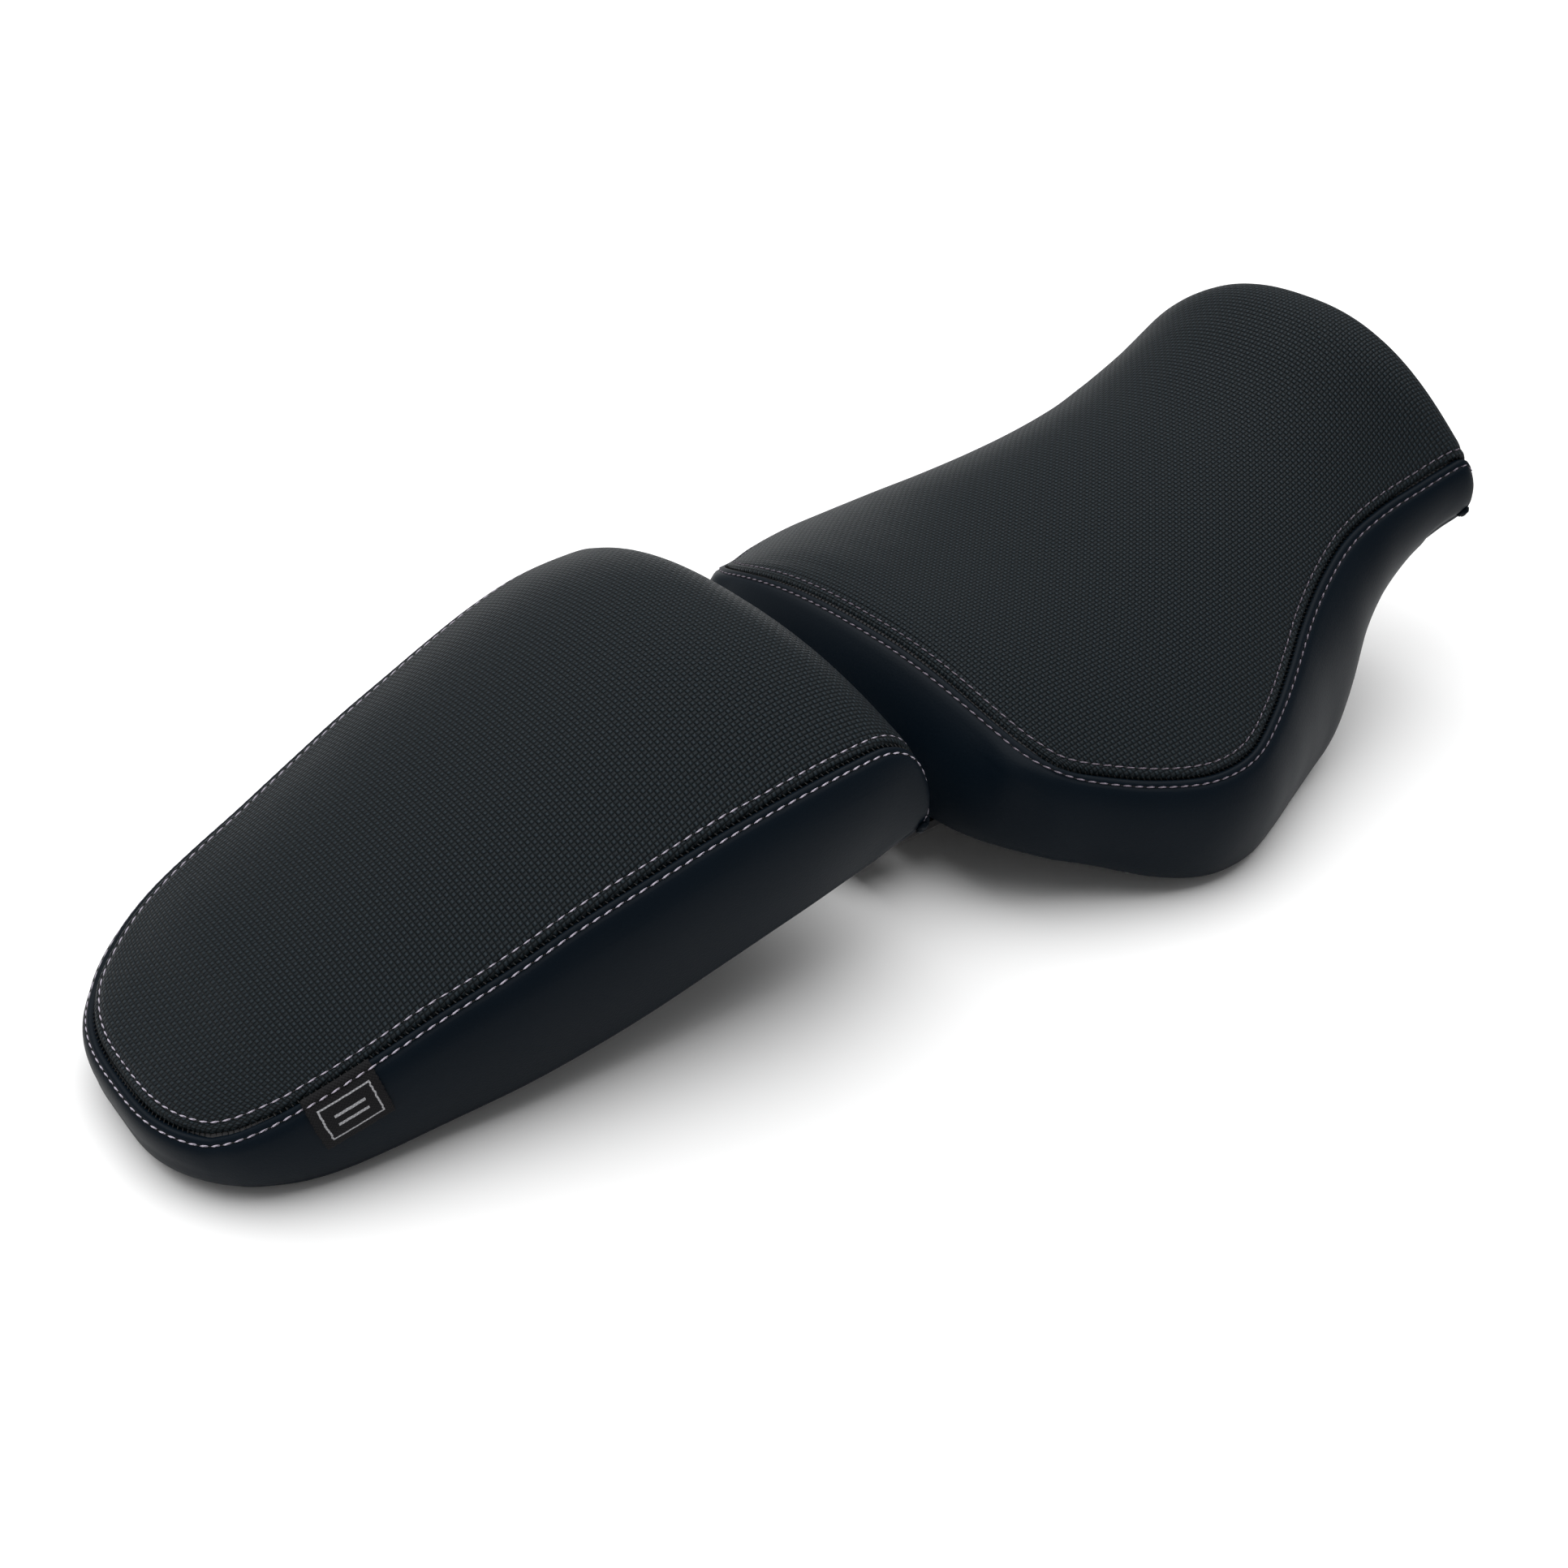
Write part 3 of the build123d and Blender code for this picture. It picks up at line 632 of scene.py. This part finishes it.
# ---------------------------------------------------------------- pillion seat, top panel
# The same embossed vinyl over a wedge that rises to a hump at its front and turns down over it.
PILLION_RIBS = [
    (5.5, 25.0, 20.0, 61.5, 27.5),
    (13.0, 30.5, 27.5, 69.5, 31.5),
    (24.0, 37.0, 37.0, 76.0, 36.5),
    (36.0, 43.5, 46.0, 81.0, 41.0),
    (57.0, 56.0, 62.0, 86.5, 48.0),
    (84.0, 67.0, 84.0, 91.0, 56.0),
    (110.0, 79.0, 110.0, 95.0, 65.0),
    (142.0, 93.0, 142.0, 101.0, 76.0),
    (172.0, 105.0, 172.0, 105.5, 87.0),
    (201.0, 117.0, 201.0, 110.0, 96.0),
    (227.0, 128.0, 227.0, 114.0, 104.0),
    (253.0, 138.0, 253.0, 118.0, 111.0),
    (279.0, 145.0, 279.0, 121.0, 116.0),
    (304.0, 147.0, 304.0, 121.5, 118.0),
    (322.0, 143.5, 322.0, 121.0, 117.5),
    (334.0, 134.5, 334.0, 120.5, 111.5),
    (341.0, 120.0, 341.0, 120.0, 101.0),
    (344.0, 101.0, 343.5, 119.5, 88.0),
    (344.5, 82.0, 344.0, 119.0, 76.0),
    (343.0, 66.5, 342.5, 118.0, 66.0),
    (339.0, 62.2, 338.5, 117.0, 62.0),
    (322.0, 59.6, 322.0, 115.0, 59.6),
]
PILLION_PLACE = np.array([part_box("pillion_side_panel")[0][0], 0, RIDER_PLACE[2] * MM]) / MM
PILLION_REAR_POWER = 3.0
pillion_top, pillion_top_flat, pillion_seam = top_surface(PILLION_RIBS, PILLION_REAR_POWER, PILLION_PLACE)

# ---------------------------------------------------------------- pillion seat, side panel
# Smooth vinyl band round the tapered rear and both sides; the seam turns down at the front corners.
PILLION_FOOT = [
    (0.0, 4.0, 0.0), (57.0, 4.0, 0.0), (84.0, 4.0, 3.0), (110.0, 4.0, 6.0), (142.0, 4.0, 11.0),
    (172.0, 4.0, 17.0), (201.0, 4.0, 25.0), (227.0, 4.0, 34.0), (253.0, 4.0, 43.0), (279.0, 4.0, 51.0),
    (304.0, 4.0, 56.0), (324.0, 4.0, 60.0), (336.0, 4.0, 62.0), (345.0, 3.2, 63.0),
]
PILLION_END = 24.0
PILLION_REAR_REACH = 4.0
PILLION_CORNER_REACH = 2.5
pillion_side, pillion_side_flat = side_surface(pillion_seam, PILLION_END, PILLION_FOOT, PILLION_REAR_REACH,
                                               PILLION_CORNER_REACH, PILLION_PLACE)
pillion_top, pillion_side, pillion_line, pillion_up = sewn(pillion_top, pillion_side, pillion_seam,
                                                           "pillion_foam")
pillion_top_cover = skin("pillion_top_cover", pillion_top, pillion_top_flat)
pillion_top_cover.data.materials.append(top_vinyl)
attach(pillion_top_cover, "pillion_seat")
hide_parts("pillion_top_panel")
pillion_side_cover = skin("pillion_side_cover", pillion_side, pillion_side_flat)
pillion_side_cover.data.materials.append(plain_vinyl)
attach(pillion_side_cover, "pillion_seat")
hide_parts("pillion_side_panel")

# ---------------------------------------------------------------- pillion seat, stitching
# The same two rows and joining stitches; this seat's thread is paler.
pale_lilac = thread("pale_lilac_thread", (0.30, 0.27, 0.34), (0.62, 0.57, 0.66))
sew("pillion", "pillion_seat", pillion_line, pillion_up, pillion_top_cover, pillion_side_cover,
    PILLION_END + 2, pale_lilac, black_thread, (PILLION_PLACE[0] + 53, PILLION_PLACE[0] + 82))

# ---------------------------------------------------------------- woven tag
# Small charcoal tag caught in the pillion's right-hand seam; the lower stitch row holds its top, its
# cut edges are slightly frayed, and it carries a plain woven frame and two bars.
TAG_START = 53.0
TAG_END = 81.0
TAG_DROP = 28.0
TAG_LEAN = 6.5
TAG_ROWS = 33
TAG_COLUMNS = 31
TAG_THICK = 0.5
side_x = pillion_side[:, 0, 0] - PILLION_PLACE[0]
right = np.nonzero((pillion_side[:, 0, 1] < 0) & (side_x < 140) & (side_x > 25))[0]
patch = pillion_side[right]
patch_out = facing(patch)
patch_out *= np.sign((patch_out * (0, -1, 0)).sum())
patch_down = along(patch.transpose(1, 0, 2)).T



def level_line(rows, down):
    """Values on the side panel at one distance below the seam, one for each column of the patch."""
    return np.array([[np.interp(down, patch_down[k], rows[k, :, axis]) for axis in range(3)]
                     for k in range(len(right))])


ups = np.linspace(0, 1, TAG_COLUMNS)
downs = np.linspace(0.9, TAG_DROP, TAG_ROWS)
tag_points = np.zeros((TAG_COLUMNS, TAG_ROWS, 3))
wander = np.random.default_rng(7)
fray = wander.normal(0, 0.16, (2, TAG_ROWS))
order = np.argsort(patch[:, 0, 0])
for j, down in enumerate(downs):
    line = level_line(patch, down)
    ways = level_line(patch_out, down)
    start = PILLION_PLACE[0] + TAG_START + TAG_LEAN * down / TAG_DROP + fray[0, j]
    end = PILLION_PLACE[0] + TAG_END + (TAG_LEAN - 1) * down / TAG_DROP + fray[1, j]
    at = start + (end - start) * ups
    spots = at_places(at, patch[order, 0, 0], line[order])
    lift = 0.35 + 0.9 * max(0.0, down / TAG_DROP - 0.7) ** 2 + 0.35 * (2 * ups - 1) ** 6 * min(1.0, down / 9)
    tag_points[:, j] = spots + at_places(at, patch[order, 0, 0], ways[order]) * lift[:, None]
tag_points[:, -1, 2] += wander.normal(0, 0.2, TAG_COLUMNS)
tag_flat = np.stack(np.meshgrid(ups, downs / TAG_DROP, indexing="ij"), -1)
tag_cloth = skin("tag_cloth", tag_points, tag_flat, TAG_THICK)
cloth = Finish("tag_weave", Roughness=0.85, Specular_IOR_Level=0.15)
plan = cloth.node("ShaderNodeUVMap", {"uv_map": "flat_pattern"})
u = cloth.node("ShaderNodeSeparateXYZ", {}, [plan], 0)
v = cloth.node("ShaderNodeSeparateXYZ", {}, [plan], 1)
THREADS = 62.8 * 2             # radians of weave across the tag
threads = (u * THREADS).math("SINE") * (v * THREADS).math("SINE") * 0.5 + 0.5
from_side = (u - 0.5).math("ABSOLUTE")
from_middle = (v - 0.6).math("ABSOLUTE")
inside = from_side.math("LESS_THAN", 0.38) * from_middle.math("LESS_THAN", 0.28)
deep = from_side.math("LESS_THAN", 0.355) * from_middle.math("LESS_THAN", 0.255)
bars = (from_middle - 0.075).math("ABSOLUTE").math("LESS_THAN", 0.022) * from_side.math("LESS_THAN", 0.22)
mark = ((inside - deep) + bars) * (0.55 + threads * 0.45)
ground = cloth.between(threads, (0.004, 0.004, 0.005), (0.011, 0.011, 0.012))
cloth.set({"Base_Color": cloth.between(mark, ground, (0.42, 0.42, 0.44)),
           "Normal": cloth.bump(threads, 0.25 * MM)})
tag_cloth.data.materials.append(cloth.material)
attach(tag_cloth, "pillion_seat")
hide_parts("pillion_tag")

# ---------------------------------------------------------------- foam, bases and metal
# The pieces under and inside the vinyl keep their own shapes and only take a finish.


def plain_finish(name, dark, light, scale, depth, **fixed):
    """Even material whose colour, gloss and surface vary a little."""
    made = Finish(name, **fixed)
    grain = made.noise(made.spot(), scale, 4.0)
    made.set({"Base_Color": made.between(grain, dark, light),
              "Roughness": fixed["Roughness"] + grain * 0.12 - 0.06,
              "Normal": made.bump(grain, depth * MM)})
    return made.material


FINISHES = {
    "seat_foam": plain_finish("foam", (0.020, 0.020, 0.022), (0.045, 0.045, 0.048), 700.0, 0.5,
                              Roughness=0.95),
    "base_plastic": plain_finish("base_plastic", (0.008, 0.008, 0.009), (0.014, 0.014, 0.015), 500.0, 0.10,
                                 Roughness=0.5),
    "foot_rubber": plain_finish("rubber", (0.006, 0.006, 0.006), (0.012, 0.012, 0.012), 900.0, 0.05,
                                Roughness=0.8),
    "staple_wire": plain_finish("staple_wire", (0.42, 0.42, 0.43), (0.55, 0.55, 0.56), 900.0, 0.01,
                                Roughness=0.35, Metallic=1.0),
    "black_steel": plain_finish("black_steel", (0.010, 0.010, 0.011), (0.020, 0.020, 0.021), 300.0, 0.03,
                                Roughness=0.42, Coat_Weight=0.3),
    "zinc_steel": plain_finish("zinc_steel", (0.40, 0.41, 0.40), (0.56, 0.57, 0.55), 120.0, 0.02,
                               Roughness=0.38, Metallic=1.0),
}
CARRIED = {
    "rider_foam": "seat_foam", "pillion_foam": "seat_foam", "rider_pan": "base_plastic",
    "pillion_pan": "base_plastic", "rider_feet": "foot_rubber", "pillion_feet": "foot_rubber",
    "rider_staples": "staple_wire", "pillion_staples": "staple_wire", "rider_rear_bracket": "black_steel",
    "rider_bracket_bar": "zinc_steel", "rider_bracket_screws": "zinc_steel", "rider_nose_tongue": "black_steel",
    "rider_tongue_rivets": "zinc_steel", "pillion_hooks": "black_steel", "pillion_hook_screws": "zinc_steel",
    "pillion_latch_loop": "zinc_steel", "pillion_loop_rivets": "zinc_steel",
}
for node, finish in CARRIED.items():
    for slot in bpy.data.objects[node].material_slots:
        slot.material = FINISHES[finish]
